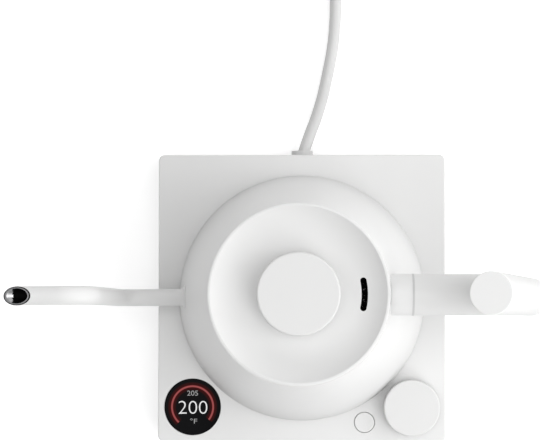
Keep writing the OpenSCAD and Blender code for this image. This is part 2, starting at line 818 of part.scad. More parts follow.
module lid_knob() {
  color(white) difference() {
    rotate_extrude($fn = 120) edge_profile(knob_r, dish_z + 0.05, knob_top, 1.1);
    translate([0, 0, 150]) cylinder(r = 2.05, h = 17, $fn = 48);
  }
}

module lid_screw() {
  color(steel) translate([0, 0, plug_bottom - 2]) mirror([0, 0, 1]) screw(4.5, 2, 2, 22);
}

// ---------- what is built ----------

base_cover();
base_plate();
base_feet();
base_screws();
base_connector();
connector_contacts();
display_glass();
display_bezel();
display_panel();
control_board();
power_board();
power_components();
buzzer();
base_leads();
dial_encoder();
dial_shaft();
dial_knob();
button_switch();
button_cap();
cord_gland();
cord_clamp();
clamp_screws();
power_cord();
cord_coil();
cord_tail();
cord_tie();
plug_body();
plug_pins();
kettle_connector();
connector_rings();
bottom_cover();
bottom_screws();
heating_element();
heat_plate();
dry_boil_cutouts();
temperature_probe();
vessel_floor();
kettle_shell();
neck_ring();
spout();
handle_bracket();
handle_seal();
handle_shell();
handle_bolt();
handle_weight();
handle_cap();
handle_end_plug();
lid_gasket();
lid_cover();
lid_core();
lid_plug();
lid_knob();
lid_screw();
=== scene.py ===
import math

import bmesh
import bpy
import numpy as np
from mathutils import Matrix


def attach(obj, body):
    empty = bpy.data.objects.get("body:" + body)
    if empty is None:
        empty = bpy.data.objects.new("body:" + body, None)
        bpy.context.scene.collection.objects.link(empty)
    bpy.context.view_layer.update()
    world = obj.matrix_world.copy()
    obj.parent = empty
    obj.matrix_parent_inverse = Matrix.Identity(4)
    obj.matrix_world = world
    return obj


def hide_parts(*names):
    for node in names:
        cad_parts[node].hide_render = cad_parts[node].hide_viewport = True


# An electric gooseneck kettle on its square power base. Metres; +X to the handle, +Y to the cord, +Z up.
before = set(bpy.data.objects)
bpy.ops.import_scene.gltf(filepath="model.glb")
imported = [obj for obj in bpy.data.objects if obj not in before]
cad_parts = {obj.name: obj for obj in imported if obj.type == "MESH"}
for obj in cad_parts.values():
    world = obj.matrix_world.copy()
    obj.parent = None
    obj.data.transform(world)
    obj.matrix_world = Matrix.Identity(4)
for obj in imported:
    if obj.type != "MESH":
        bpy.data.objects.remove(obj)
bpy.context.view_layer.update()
scene = bpy.context.scene
mm = 0.001
joinWithin = 1e-6              # points closer than this are one point
print("frame loaded:", len(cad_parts), "parts")

# The camera looks almost straight down from a metre above the table
cameraSet = {
    "place": (0.0114, -0.0142, 1.023),
    "turn": (1.71, 0.855, 0.027),      # degrees from looking straight down
    "lens": 110.8, "sensor": 36,       # millimetres
    "clip": (0.01, 20),
    "shift": (-0.0481, 0.0963),
}


# A camera turned from looking straight down by degrees about X, Y and Z
def makeCamera(s):
    data = bpy.data.cameras.new("camera")
    data.lens = s["lens"]
    data.sensor_width = s["sensor"]
    data.shift_x, data.shift_y = s["shift"]
    data.clip_start, data.clip_end = s["clip"]
    camera = bpy.data.objects.new("camera", data)
    camera.location = s["place"]
    camera.rotation_euler = [math.radians(a) for a in s["turn"]]
    scene.collection.objects.link(camera)
    scene.camera = camera


makeCamera(cameraSet)


# Joins grid[i, j] to its neighbours i+1 and j+1 with four-sided faces; a closed way wraps round
def surface(name, grid, closeRows=False, closeColumns=True, sharp=40):
    rows, columns = grid.shape[:2]
    i, j = np.meshgrid(
        np.arange(rows if closeRows else rows - 1),
        np.arange(columns if closeColumns else columns - 1),
        indexing="ij",
    )
    down, across = (i + 1) % rows, (j + 1) % columns
    near, far = i * columns, down * columns
    cells = np.stack([near + j, near + across, far + across, far + j], -1)
    mesh = bpy.data.meshes.new(name)
    mesh.from_pydata(grid.reshape(-1, 3).tolist(), [], cells.reshape(-1, 4).tolist())
    work = bmesh.new()
    work.from_mesh(mesh)
    bmesh.ops.remove_doubles(work, verts=work.verts, dist=joinWithin)
    bmesh.ops.recalc_face_normals(work, faces=work.faces)
    work.to_mesh(mesh)
    work.free()
    mesh.shade_smooth()
    mesh.set_sharp_from_angle(angle=math.radians(sharp))
    piece = bpy.data.objects.new(name, mesh)
    scene.collection.objects.link(piece)
    return piece


# Closed outline through points (r, z): each corner becomes an arc of its radius r, tangent to both of its
# sides, about a middle at r / sin(half the angle) along the line that halves the corner
def roundedOutline(points, radii, steps):
    points = np.array(points, float)
    line = []
    for k, (corner, r) in enumerate(zip(points, radii)):
        before, after = points[k - 1], points[(k + 1) % len(points)]
        a = (before - corner) / np.linalg.norm(before - corner)
        b = (after - corner) / np.linalg.norm(after - corner)
        half = math.acos(np.clip(a @ b, -1, 1)) / 2
        middle = corner + (a + b) / np.linalg.norm(a + b) * r / math.sin(half)
        start = corner + a * r / math.tan(half) - middle
        end = corner + b * r / math.tan(half) - middle
        t = np.linspace(0, 1, steps + 1)[:, None]
        arc = start * (1 - t) + end * t
        line.append(middle + arc / np.linalg.norm(arc, axis=1, keepdims=True) * r)
    return np.concatenate(line)


# Turns a closed outline (r, z) about the kettle's axis: x = r cos a, y = r sin a
def turned(name, outline, steps, sharp):
    a = np.linspace(0, 2 * math.pi, steps, endpoint=False)
    r, z = outline[:, :1], outline[:, 1:]
    grid = np.stack([r * np.cos(a), r * np.sin(a), z + 0 * a], -1)
    return surface(name, grid, closeRows=True, sharp=sharp)


# The two directions square to a path's heading: across is level, above completes the set
def pathFrame(path):
    heading = np.gradient(path, axis=0)
    heading /= np.linalg.norm(heading, axis=1, keepdims=True)
    across = np.cross([0, 0, 1], heading)
    across /= np.linalg.norm(across, axis=1, keepdims=True)
    return across, np.cross(heading, across)


# Tube along a path: point = path + radius (cos a across + sin a above)
def tubeGrid(path, radius, sides):
    across, above = pathFrame(path)
    a = np.linspace(0, 2 * math.pi, sides, endpoint=False)[None, :, None]
    radius = np.broadcast_to(radius, (len(path),))[:, None, None]
    return path[:, None] + radius * (np.cos(a) * across[:, None] + np.sin(a) * above[:, None])


# Catmull-Rom curve through the points, two dozen places between each pair, then points an equal step apart:
# half of 2b + (c - a) t + (2a - 5b + 4c - d) t^2 + (3b - a - 3c + d) t^3 for four neighbours a, b, c and d
def smoothLine(points, step):
    p = np.array(points, float)
    p = np.concatenate([2 * p[:1] - p[1:2], p, 2 * p[-1:] - p[-2:-1]])
    t = np.linspace(0, 1, 24, endpoint=False)[None, :, None]
    a, b, c, d = (p[k : len(p) - 3 + k, None] for k in range(4))
    curve = 0.5 * (2 * b + (c - a) * t + (2 * a - 5 * b + 4 * c - d) * t**2 + (3 * b - a - 3 * c + d) * t**3)
    curve = np.concatenate([curve.reshape(-1, 3), p[-2:-1]])
    return evenly(curve, step)


# The same curve with its points an equal step apart, read off against the length along it
def evenly(curve, step):
    along = np.concatenate([[0], np.cumsum(np.linalg.norm(np.diff(curve, axis=0), axis=1))])
    at = np.linspace(0, along[-1], max(2, round(along[-1] / step)) + 1)
    return np.stack([np.interp(at, along, curve[:, k]) for k in range(3)], -1)


# Sum of the distances from each point to the next
def lengthOf(line):
    return float(np.linalg.norm(np.diff(line, axis=0), axis=1).sum())


# A material with its node tree and its main shader
def newMaterial(name):
    material = bpy.data.materials.new(name)
    material.use_nodes = True
    nodes, links = material.node_tree.nodes, material.node_tree.links
    return material, nodes, links, nodes["Principled BSDF"]


# Noise over the coordinates, which the stretch scales along X, Y and Z first
def noiseNode(nodes, links, coordinates, scale, detail=2, stretch=(1, 1, 1)):
    mapping = nodes.new("ShaderNodeMapping")
    mapping.inputs["Scale"].default_value = stretch
    noise = nodes.new("ShaderNodeTexNoise")
    noise.inputs["Scale"].default_value = scale
    noise.inputs["Detail"].default_value = detail
    links.new(coordinates, mapping.inputs["Vector"])
    links.new(mapping.outputs["Vector"], noise.inputs["Vector"])
    return noise.outputs["Fac"]


noiseSpan = (0.3, 0.7)         # nearly all of the noise lies between these


# Carries a span of values onto low to high in a straight line, and stops at both ends
def rangeNode(nodes, links, value, low, high, span=noiseSpan):
    spread = nodes.new("ShaderNodeMapRange")
    spread.inputs["From Min"].default_value, spread.inputs["From Max"].default_value = span
    spread.inputs["To Min"].default_value = low
    spread.inputs["To Max"].default_value = high
    links.new(value, spread.inputs["Value"])
    return spread.outputs["Result"]


# Gives the shader a relief of a depth in metres
def bumpNode(nodes, links, shader, height, strength, depth):
    bump = nodes.new("ShaderNodeBump")
    bump.inputs["Strength"].default_value = strength
    bump.inputs["Distance"].default_value = depth
    links.new(height, bump.inputs["Height"])
    links.new(bump.outputs["Normal"], shader.inputs["Normal"])


speckle = {"cloud": 18, "cloudDetail": 3, "depth": 0.0001, "ior": 1.47}


# A finish with slow changes of colour and gloss over the surface, and a fine grain in its relief
def speckled(name, s):
    material, nodes, links, shader = newMaterial(name)
    where = nodes.new("ShaderNodeTexCoord").outputs["Object"]
    slow = noiseNode(nodes, links, where, speckle["cloud"], speckle["cloudDetail"])
    fine = noiseNode(nodes, links, where, s["grain"])
    tint = nodes.new("ShaderNodeMix")
    tint.data_type = "RGBA"
    low, high = s["color"]
    tint.inputs["A"].default_value = (*low, 1)
    tint.inputs["B"].default_value = (*high, 1)
    links.new(rangeNode(nodes, links, slow, 0, 1), tint.inputs["Factor"])
    links.new(tint.outputs["Result"], shader.inputs["Base Color"])
    links.new(rangeNode(nodes, links, slow, *s["rough"]), shader.inputs["Roughness"])
    bumpNode(nodes, links, shader, fine, s["relief"], speckle["depth"])
    shader.inputs["Metallic"].default_value = s.get("metal", 0)
    shader.inputs["IOR"].default_value = speckle["ior"]
    shader.inputs["Specular IOR Level"].default_value = s.get("shine", 0.5)
    return material


brushing = {"smudge": 30, "smudgeDetail": 3, "depth": 0.00005}


# Metal with fine lines, from noise that changes quickly along one axis, and with soft smudges in its gloss
def brushedMetal(name, s):
    material, nodes, links, shader = newMaterial(name)
    where = nodes.new("ShaderNodeTexCoord").outputs["Object"]
    lines = noiseNode(nodes, links, where, s["lines"], stretch=s["stretch"])
    smudge = noiseNode(nodes, links, where, brushing["smudge"], brushing["smudgeDetail"])
    links.new(rangeNode(nodes, links, smudge, *s["rough"]), shader.inputs["Roughness"])
    shader.inputs["Base Color"].default_value = (*s["color"], 1)
    shader.inputs["Metallic"].default_value = 1
    bumpNode(nodes, links, shader, lines, s["relief"], brushing["depth"])
    return material


finishes = {
    "kettlePaint": speckled("kettlePaint", {
        "color": ((0.665, 0.665, 0.662), (0.685, 0.685, 0.682)), "rough": (0.54, 0.62),
        "grain": 2600, "relief": 0.10, "shine": 0.15}),
    "basePlastic": speckled("basePlastic", {
        "color": ((0.665, 0.665, 0.662), (0.685, 0.685, 0.682)), "rough": (0.50, 0.58),
        "grain": 3200, "relief": 0.16, "shine": 0.4}),
    "handlePlastic": speckled("handlePlastic", {
        "color": ((0.635, 0.635, 0.632), (0.655, 0.655, 0.652)), "rough": (0.50, 0.58),
        "grain": 2800, "relief": 0.12, "shine": 0.25}),
    # The handle's own plastic made lighter on the cap: painted light where its tilted top faces the lamps
    "capPlasticPaintedLight": speckled("capPlasticPaintedLight", {
        "color": ((0.75, 0.75, 0.747), (0.77, 0.77, 0.767)), "rough": (0.48, 0.56),
        "grain": 2800, "relief": 0.12, "shine": 0.25}),
    "cordJacket": speckled("cordJacket", {
        "color": ((0.55, 0.55, 0.547), (0.59, 0.59, 0.587)), "rough": (0.5, 0.62),
        "grain": 1500, "relief": 0.18, "shine": 0.3}),
    "blackPlastic": speckled("blackPlastic", {
        "color": ((0.018, 0.018, 0.02), (0.03, 0.03, 0.032)), "rough": (0.42, 0.55),
        "grain": 2400, "relief": 0.2}),
    "displayGlass": speckled("displayGlass", {
        "color": ((0.0015, 0.0015, 0.002), (0.003, 0.003, 0.0035)), "rough": (0.06, 0.10),
        "grain": 500, "relief": 0.01, "shine": 0.02}),
    # Black plastic of the lid's core, made darker still and almost glossless as painted shade in the vent
    # slot
    "lidCoreBlackAndPaintedShade": speckled("lidCoreBlackAndPaintedShade", {
        "color": ((0.001, 0.001, 0.001), (0.002, 0.002, 0.002)), "rough": (0.8, 0.9),
        "grain": 2400, "relief": 0.2, "shine": 0.02}),
    "softRubber": speckled("softRubber", {
        "color": ((0.045, 0.045, 0.048), (0.07, 0.07, 0.073)), "rough": (0.7, 0.85),
        "grain": 1800, "relief": 0.3}),
    "siliconeGrey": speckled("siliconeGrey", {
        "color": ((0.46, 0.46, 0.46), (0.52, 0.52, 0.52)), "rough": (0.5, 0.6),
        "grain": 1600, "relief": 0.15}),
    "boardGreen": speckled("boardGreen", {
        "color": ((0.012, 0.09, 0.035), (0.02, 0.14, 0.055)), "rough": (0.25, 0.4),
        "grain": 900, "relief": 0.25}),
    "partDark": speckled("partDark", {
        "color": ((0.03, 0.035, 0.05), (0.06, 0.065, 0.085)), "rough": (0.4, 0.55),
        "grain": 1400, "relief": 0.2}),
    "ceramicCream": speckled("ceramicCream", {
        "color": ((0.62, 0.59, 0.52), (0.7, 0.68, 0.6)), "rough": (0.6, 0.75),
        "grain": 1300, "relief": 0.3}),
    "castAluminium": speckled("castAluminium", {
        "color": ((0.62, 0.62, 0.63), (0.72, 0.72, 0.73)), "rough": (0.38, 0.5),
        "metal": 1, "grain": 900, "relief": 0.4}),
    "zincScrew": speckled("zincScrew", {
        "color": ((0.55, 0.56, 0.58), (0.68, 0.68, 0.7)), "rough": (0.25, 0.38),
        "metal": 1, "grain": 1200, "relief": 0.2}),
    "contactBrass": speckled("contactBrass", {
        "color": ((0.62, 0.42, 0.16), (0.74, 0.54, 0.24)), "rough": (0.22, 0.34),
        "metal": 1, "grain": 1400, "relief": 0.15}),
    "vesselSteel": brushedMetal("vesselSteel", {
        "color": (0.62, 0.61, 0.60), "rough": (0.22, 0.32),
        "lines": 60, "stretch": (1, 1, 40), "relief": 0.25}),
    "spoutSteel": brushedMetal("spoutSteel", {
        "color": (0.62, 0.62, 0.63), "rough": (0.32, 0.42),
        "lines": 300, "stretch": (6, 1, 1), "relief": 0.06}),
    # Near-black steel on the spout's rounded lip: a painted reflection of dark surroundings
    "spoutRimPaintedReflection": brushedMetal("spoutRimPaintedReflection", {
        "color": (0.07, 0.07, 0.073), "rough": (0.16, 0.24),
        "lines": 300, "stretch": (6, 1, 1), "relief": 0.05}),
    # Black bore of the spout: painted shade inside the tube
    "spoutPaintedShade": speckled("spoutPaintedShade", {
        "color": ((0.001, 0.001, 0.001), (0.003, 0.003, 0.003)), "rough": (0.5, 0.6),
        "grain": 900, "relief": 0.1, "shine": 0.03}),
}

# The frame's parts that stay in view; the replaced ones get theirs with their pieces
nodeFinish = {
    "basePlastic": ["base_cover", "button_cap"],
    "handlePlastic": ["handle_shell", "handle_end_plug", "lid_knob", "dial_knob"],
    "capPlasticPaintedLight": ["handle_cap"],
    "kettlePaint": ["bottom_cover", "lid_cover", "handle_bracket"],
    "cordJacket": ["cord_gland", "base_leads"],
    "blackPlastic": ["base_plate", "base_connector", "display_bezel", "buzzer", "cord_clamp",
                     "kettle_connector"],
    "lidCoreBlackAndPaintedShade": ["lid_core"],
    "displayGlass": ["display_glass"],
    "softRubber": ["base_feet"],
    "siliconeGrey": ["handle_seal", "lid_gasket"],
    "boardGreen": ["control_board", "power_board"],
    "partDark": ["display_panel", "power_components"],
    "ceramicCream": ["dry_boil_cutouts"],
    "castAluminium": ["heat_plate"],
    "zincScrew": ["base_screws", "clamp_screws", "bottom_screws", "lid_screw", "handle_bolt",
                  "handle_weight", "dial_encoder", "dial_shaft", "button_switch"],
    "contactBrass": ["connector_contacts", "connector_rings", "plug_pins"],
    "vesselSteel": ["vessel_floor", "neck_ring", "lid_plug", "temperature_probe", "heating_element"],
}


# Gives a piece its finishes in the order of its material slots
def giveFinish(piece, *names):
    piece.data.materials.clear()
    for name in names:
        piece.data.materials.append(finishes[name])


for finish, nodeNames in nodeFinish.items():
    for node in nodeNames:
        giveFinish(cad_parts[node], finish)
print("finishes on the frame's parts")

cordSet = {
    "diameter": 7 * mm,
    "step": 2 * mm,
    "sides": 20,
    "coilRadius": 42,
    "coilCentre": (-21.5, 240),
    "layers": (4.3, 11.4),
    "rise": (280, 352),        # the coil climbs to its second layer between these angles
    "end": 630, "turn": 7.5,   # degrees wound in all, and between two points
    "evenings": 6,
}

# The cord's middle line in millimetres: from the gland to the coil, then from the coil to the plug
leadRoute = [
    [0, 86.6, 11], [2.2, 92.8, 10.7], [4.4, 99.5, 9.5], [6.9, 106, 7.4], [9.1, 112.5, 5.2],
    [11.1, 119, 3.9], [12.9, 125.5, 3.5], [15.2, 136.5, 3.5], [17.2, 146, 3.5],
    [18.8, 155.5, 3.5], [19.9, 166, 3.5], [20.4, 176, 3.6], [20.5, 186, 3.8],
    [20.5, 198, 4.1], [20.5, 210, 4.3], [20.5, 222, 4.3], [20.5, 228, 4.3],
]
tailRoute = [
    [-12, 198, 11.4], [-2, 198, 11.5], [8, 198.4, 11.7], [17, 199.3, 11.8], [24, 200.4, 11.3],
    [31, 202, 9.9], [38, 203.7, 8.1], [45, 205, 6.8], [52, 205.8, 6.6], [60, 206, 8],
    [67.5, 206, 9.9], [75, 206, 11.2], [81, 206, 11.5],
]


# Turns of the coil: a circle whose height climbs by 3t^2 - 2t^3 between the two angles of the rise
def coilRoute(s):
    angle = np.arange(0, s["end"] + 1, s["turn"])
    t = np.clip((angle - s["rise"][0]) / (s["rise"][1] - s["rise"][0]), 0, 1)
    low, high = s["layers"]
    z = low + (high - low) * (3 * t**2 - 2 * t**3)
    a = np.radians(angle)
    x = s["coilCentre"][0] + s["coilRadius"] * np.cos(a)
    y = s["coilCentre"][1] + s["coilRadius"] * np.sin(a)
    return np.stack([x, y, z], -1)


# One tube along both routes and the coil; each evening makes a point (before + 2 itself + after) / 4
def makeCord(s):
    route = np.concatenate([leadRoute, coilRoute(s), tailRoute])
    line = smoothLine(route * mm, s["step"])
    for _ in range(s["evenings"]):
        line[1:-1] = (line[:-2] + 2 * line[1:-1] + line[2:]) / 4
    grid = tubeGrid(line, s["diameter"] / 2, s["sides"])
    start, end = (line[None, k].repeat(s["sides"], 1) for k in (slice(0, 1), slice(-1, None)))
    grid = np.concatenate([start, grid, end])     # both ends close on the middle line
    piece = surface("mainsCord", grid)
    giveFinish(piece, "cordJacket")
    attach(piece, "base")
    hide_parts("power_cord", "cord_coil", "cord_tail")
    return piece, line


mainsCord, cordLine = makeCord(cordSet)
print("cord:", round(lengthOf(cordLine), 4), "m")

plugSet = {
    "start": (75.4, 206, 11.5),
    "relief": 20, "reliefRadii": (4.4, 7.0), "reliefCurve": 1.3,
    "ribs": 4, "ribDepth": 0.7, "ribSharp": 4, "ribFrom": 1,
    "body": 28, "width": 23, "shoulder": 7, "shoulderCurve": 0.9, "edge": 1.2,
    "powers": (2, 6), "powerRun": 9,       # from round to nearly square over this length
    "columns": 72,
}


# Sections square to X, each |y|^n + |z|^n = w^n. The half width w grows as a power of x along the ribs, then
# as a power of a sine up the shoulder, stays level along the body and ends in a quarter circle
def makePlug(s):
    x0, y0, z0 = s["start"]
    relief = np.linspace(0, s["relief"], 61)
    low, high = s["reliefRadii"]
    w = low + (high - low) * (relief / s["relief"]) ** s["reliefCurve"]
    rib = np.sin(relief / s["relief"] * s["ribs"] * 2 * math.pi)
    w = w - s["ribDepth"] * np.clip(rib * s["ribSharp"], 0, 1) * (relief > s["ribFrom"])
    t = np.linspace(0, 1, 25)
    shoulder = high + (s["width"] / 2 - high) * np.sin(t * math.pi / 2) ** s["shoulderCurve"]
    shoulderX = s["relief"] + s["shoulder"] * (1 - np.cos(t * math.pi / 2))
    edge = np.linspace(0, math.pi / 2, 8)
    faceX = s["relief"] + s["body"] - s["edge"] + s["edge"] * np.sin(edge)
    faceW = s["width"] / 2 - s["edge"] + s["edge"] * np.cos(edge)
    x = np.concatenate([[0], relief, shoulderX[1:], faceX, faceX[-1:]])
    w = np.concatenate([[0], w, shoulder[1:], faceW, [0]])
    rounded, square = s["powers"]
    n = rounded + (square - rounded) * np.clip((x - s["relief"]) / s["powerRun"], 0, 1)
    a = np.linspace(0, 2 * math.pi, s["columns"], endpoint=False)[None]
    n, w, x = n[:, None], w[:, None], x[:, None]
    y = w * np.sign(np.cos(a)) * np.abs(np.cos(a)) ** (2 / n)
    z = w * np.sign(np.sin(a)) * np.abs(np.sin(a)) ** (2 / n)
    grid = np.stack([x + x0 + 0 * a, y + y0, z + z0], -1) * mm
    piece = surface("plugBody", grid, sharp=50)
    giveFinish(piece, "cordJacket")
    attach(piece, "base")
    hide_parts("plug_body")
    return piece


tieSet = {"width": 7, "thick": 0.7, "clear": 0.1, "corner": 0.2, "steps": 48}


# Band round the two layers of the coil: a thin section carried round the loop (cos a, sin a), whose upper
# half circle is lifted from the lower layer to the upper one
def makeTie(s, cord):
    cx, cy = cord["coilCentre"]
    r = cord["diameter"] / mm / 2 + s["clear"]
    low, high = cord["layers"]
    a = np.linspace(0, 2 * math.pi, s["steps"], endpoint=False)
    across, up = np.cos(a), np.sin(a)
    middle = np.where(up > 0, high, low)
    section = roundedOutline([[0, -1], [1, -1], [1, 1], [0, 1]], [s["corner"]] * 4, 3)
    out, along = section[None, :, 0] * s["thick"], section[None, :, 1] * s["width"] / 2
    y = cy + cord["coilRadius"] + (r + out) * across[:, None]
    z = middle[:, None] + (r + out) * up[:, None]
    grid = np.stack([cx + along + 0 * y, y, z], -1) * mm
    piece = surface("cordTie", grid, closeRows=True, sharp=60)
    giveFinish(piece, "softRubber")
    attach(piece, "base")
    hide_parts("cord_tie")
    return piece


plugBody = makePlug(plugSet)
cordTie = makeTie(tieSet, cordSet)
print("plug and tie")

kettleSet = {
    "footZ": 31.2, "footR": 73, "topZ": 159, "topR": 47.9,
    "low": 36.1, "high": 157.8, "wall": 1, "edge": 0.35, "steps": 256,
    "paintDepth": 0.8,         # share of the wall that counts as its painted side
}


# Radius of the cone at a height: a straight line from the foot to the top
def coneRadius(z, s=kettleSet):
    return s["footR"] - (s["footR"] - s["topR"]) * (z - s["footZ"]) / (s["topZ"] - s["footZ"])


# Wall of the vessel: the cone's outer and inner line, closed round both edges; the inner face is bare steel
def makeShell(s):
    low, high, wall = s["low"], s["high"], s["wall"]
    corners = [
        [coneRadius(low), low], [coneRadius(high), high],
        [coneRadius(high) - wall, high], [coneRadius(low) - wall, low],
    ]
    outline = roundedOutline(corners, [s["edge"]] * 4, 5)
    piece = turned("kettleBody", outline * mm, s["steps"], sharp=60)
    giveFinish(piece, "kettlePaint", "vesselSteel")
    centres = np.zeros(len(piece.data.polygons) * 3)
    piece.data.polygons.foreach_get("center", centres)
    centres = centres.reshape(-1, 3) / mm
    inside = np.hypot(centres[:, 0], centres[:, 1]) < coneRadius(centres[:, 2]) - wall * s["paintDepth"]
    piece.data.polygons.foreach_set("material_index", inside.astype(int))
    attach(piece, "kettle")
    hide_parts("kettle_shell")


makeShell(kettleSet)

spoutSet = {
    "rootZ": 54, "tipZ": 161, "reach": 154.7, "rootD": 9.9, "tipD": 9.9,
    "bend": 86, "lowBend": 16, "highBend": 16, "tipRun": 29.5, "cut": 32, "yaw": 0.65,
    "start": 66, "fillet": 2.0, "sides": 64,
    "levelSteps": 23, "bendSteps": 28, "slantSteps": 38,
    "lip": 1.1, "rimBand": 0.5, "lipRound": 0.12, "lipCorner": 0.14, "lipRows": 40,
    "paintedShadeFrom": 5.2,             # the bore shines as steel this far behind the lip, and is painted black as shade past it
}


# Axis of the spout in the XZ plane: level root, arc of the bend's angle upwards, slant, arc back to level.
# The slant's length is the rise less both arcs' heights, over the sine of the bend
def spoutAxis(s):
    b = math.radians(s["bend"])
    rise = s["tipZ"] - s["rootZ"]
    slant = (rise - (s["lowBend"] + s["highBend"]) * (1 - math.cos(b))) / math.sin(b)
    tipX = -s["reach"] + s["tipRun"]
    bendX = tipX + (s["highBend"] + s["lowBend"]) * math.sin(b) + slant * math.cos(b)
    levels, bends, slants = s["levelSteps"], s["bendSteps"], s["slantSteps"]
    t = np.linspace(0, b, bends)
    level = np.stack([np.linspace(-s["start"], bendX, levels + 1)[:-1], np.full(levels, s["rootZ"])], -1)
    low = np.stack([bendX - s["lowBend"] * np.sin(t), s["rootZ"] + s["lowBend"] * (1 - np.cos(t))], -1)
    up = low[-1] + np.linspace(0, slant, slants + 2)[1:-1, None] * [-math.cos(b), math.sin(b)]
    high = np.stack([tipX + s["highBend"] * np.sin(t), s["tipZ"] - s["highBend"] * (1 - np.cos(t))], -1)
    line = np.concatenate([level, low, up, high[::-1]])
    taper = np.concatenate([np.zeros(levels + bends), np.linspace(0, 1, slants), np.ones(bends)])
    return np.stack([line[:, 0], 0 * line[:, 0], line[:, 1]], -1), taper


# Turns points by the yaw v about the root, which is at x = -start:
# x = dx cos v - dy sin v - start, y = dx sin v + dy cos v
def turnAboutRoot(s, points):
    yaw = math.radians(s["yaw"])
    dx, dy = points[..., 0] + s["start"], points[..., 1]
    x = dx * math.cos(yaw) - dy * math.sin(yaw) - s["start"]
    return np.stack([x, dx * math.sin(yaw) + dy * math.cos(yaw), points[..., 2]], -1)


# One wall of the tube; its last hoops slide along X until they lie in the slanted plane of the mouth
def spoutWall(s, inset, back=0.0):
    axis, taper = spoutAxis(s)
    radius = (s["rootD"] + (s["tipD"] - s["rootD"]) * taper) / 2 - inset
    if inset == 0:             # the paint's soft fillet where the tube leaves the body
        gap = np.clip(-axis[:, 0] - coneRadius(s["rootZ"]), 0, s["fillet"])
        radius = radius + s["fillet"] - np.sqrt(s["fillet"] ** 2 - (s["fillet"] - gap) ** 2)
    grid = tubeGrid(axis, radius, s["sides"])
    end = grid[-1]
    lip = end.copy()
    above = end[:, 2] - s["tipZ"] + s["tipD"] / 2
    lip[:, 0] = above / math.tan(math.radians(s["cut"])) - s["reach"] + back
    t = np.linspace(0, 1, s["lipRows"])[1:, None, None]
    return turnAboutRoot(s, np.concatenate([grid, end + (lip - end) * t]))


# Outer wall, a polished lip whose steel is painted dark as a painted reflection of dark surroundings, then
# the inner wall back to the vessel; the bore is painted black past its first stretch as painted shade
def makeSpout(s):
    outer, inner = spoutWall(s, 0, s["lipRound"]), spoutWall(s, s["lip"], s["lipRound"])
    band = spoutWall(s, s["rimBand"], 0.0)[-1:]
    innerLip = spoutWall(s, s["lip"] - s["lipCorner"], 0.0)[-1:]
    grid = np.concatenate([outer, band, innerLip, inner[::-1]]) * mm
    piece = surface("spoutTube", grid, closeRows=True, sharp=50)
    giveFinish(piece, "kettlePaint", "spoutRimPaintedReflection", "spoutSteel", "spoutPaintedShade")
    faces = len(piece.data.polygons)
    row = np.arange(faces) // s["sides"]
    centres = np.zeros(faces * 3)
    piece.data.polygons.foreach_get("center", centres)
    # Faces further into the bore than this take the black of painted shade
    paintedShadeMask = centres.reshape(-1, 3)[:, 0] / mm > s["paintedShadeFrom"] - s["reach"]
    finish = (row >= len(outer) - 1).astype(int) + (row >= len(outer)) + ((row > len(outer)) & paintedShadeMask)
    piece.data.polygons.foreach_set("material_index", finish.astype(int))
    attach(piece, "kettle")
    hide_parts("spout")


makeSpout(spoutSet)
print("kettle body and spout")

displaySet = {
    "centre": (-65.1, -65.1), "top": 30.17, "lift": 0.02, "thick": 0.04,
    # each figure's words, middle, width, height and change of weight
    "target": ("200", (-64.9, -65.4), 17.2, 7.7, -0.016),
    "limit": ("205", (-65.1, -56.9), 6.5, 3.0, 0.0),
    "unit": ("\u00b0F", (-64.4, -73.5), 4.2, 3.0, 0.0),
    "arcRadius": 12.3, "arcWidth": 5.2, "arcFrom": -38, "arcTo": 228, "arcSteps": (121, 9),
}
glowSet = {
    "glass": (0.002, 0.002, 0.002), "rough": 0.3, "shine": 0.02,
    "dots": 2500, "weakest": 0.94,         # the display's fine grid dims its light a little
    "edge": (0.004, 0.003, 0.003),
    "haloFrom": (0.22, 0.36), "coreFrom": (0.44, 0.56), "haloTo": (0.64, 0.78),
}


# Nearly black glass under the light of the display
def darkGlass(name, s):
    material, nodes, links, shader = newMaterial(name)
    shader.inputs["Base Color"].default_value = (*s["glass"], 1)
    shader.inputs["Roughness"].default_value = s["rough"]
    shader.inputs["Specular IOR Level"].default_value = s["shine"]
    return material, nodes, links, shader


# Figures that shine in one colour
def glowFinish(name, color, s=glowSet):
    material, nodes, links, shader = darkGlass(name, s)
    where = nodes.new("ShaderNodeTexCoord").outputs["Object"]
    grid = noiseNode(nodes, links, where, s["dots"], 1)
    shader.inputs["Emission Color"].default_value = (*color, 1)
    links.new(rangeNode(nodes, links, grid, s["weakest"], 1), shader.inputs["Emission Strength"])
    return material


# Red band that fades from its middle line to both edges, from the band's own width coordinate
def arcFinish(name, core, halo, s=glowSet):
    material, nodes, links, shader = darkGlass(name, s)
    across = nodes.new("ShaderNodeUVMap")
    split = nodes.new("ShaderNodeSeparateXYZ")
    links.new(across.outputs["UV"], split.inputs["Vector"])
    ramp = nodes.new("ShaderNodeValToRGB")
    stops = ramp.color_ramp.elements
    stops[0].position, stops[0].color = 0, (*s["edge"], 1)
    stops[1].position, stops[1].color = 1, (*s["edge"], 1)
    for places, color in (("haloFrom", halo), ("coreFrom", core), ("haloTo", halo)):
        for place in s[places]:
            stops.new(place).color = (*color, 1)
    links.new(split.outputs["Y"], ramp.inputs["Fac"])
    links.new(ramp.outputs["Color"], shader.inputs["Emission Color"])
    shader.inputs["Emission Strength"].default_value = 1
    return material


finishes["digitWhite"] = glowFinish("digitWhite", (0.85, 0.85, 0.85))
finishes["digitGrey"] = glowFinish("digitGrey", (0.36, 0.36, 0.36))
finishes["arcRed"] = arcFinish("arcRed", (0.34, 0.075, 0.075), (0.035, 0.002, 0.002))


